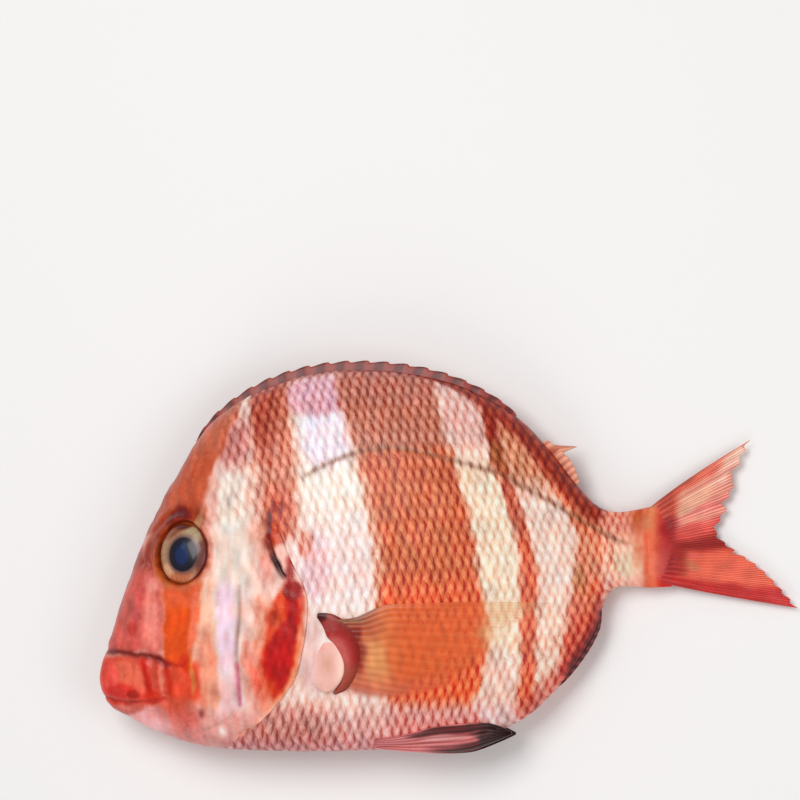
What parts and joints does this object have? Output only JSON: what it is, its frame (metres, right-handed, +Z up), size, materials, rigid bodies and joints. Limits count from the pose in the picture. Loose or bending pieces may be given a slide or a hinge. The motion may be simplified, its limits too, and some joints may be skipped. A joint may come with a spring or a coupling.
{
  "type": "whole raw fish",
  "caption": "Whole raw sea bream lying on its side, deep body, folded fins and forked tail, red and cream bands; fresh food for a market stall, kitchen or table",
  "frame": {"origin": "the middle of the fish's box, on the surface that it lies on", "axes": "+X from head to tail, +Y from belly to back, +Z up out of the left flank"},
  "size_m": [0.2918, 0.1634, 0.0477],
  "materials": {
    "skin": "wet scaled skin, orange-red and cream bands",
    "eye": "wet, clear, dark pupil in a pale gold iris"
  },
  "bodies": {
    "root": {"fish": "skin", "eye_left": "eye", "eye_right": "eye"}
  },
  "joints": []
}
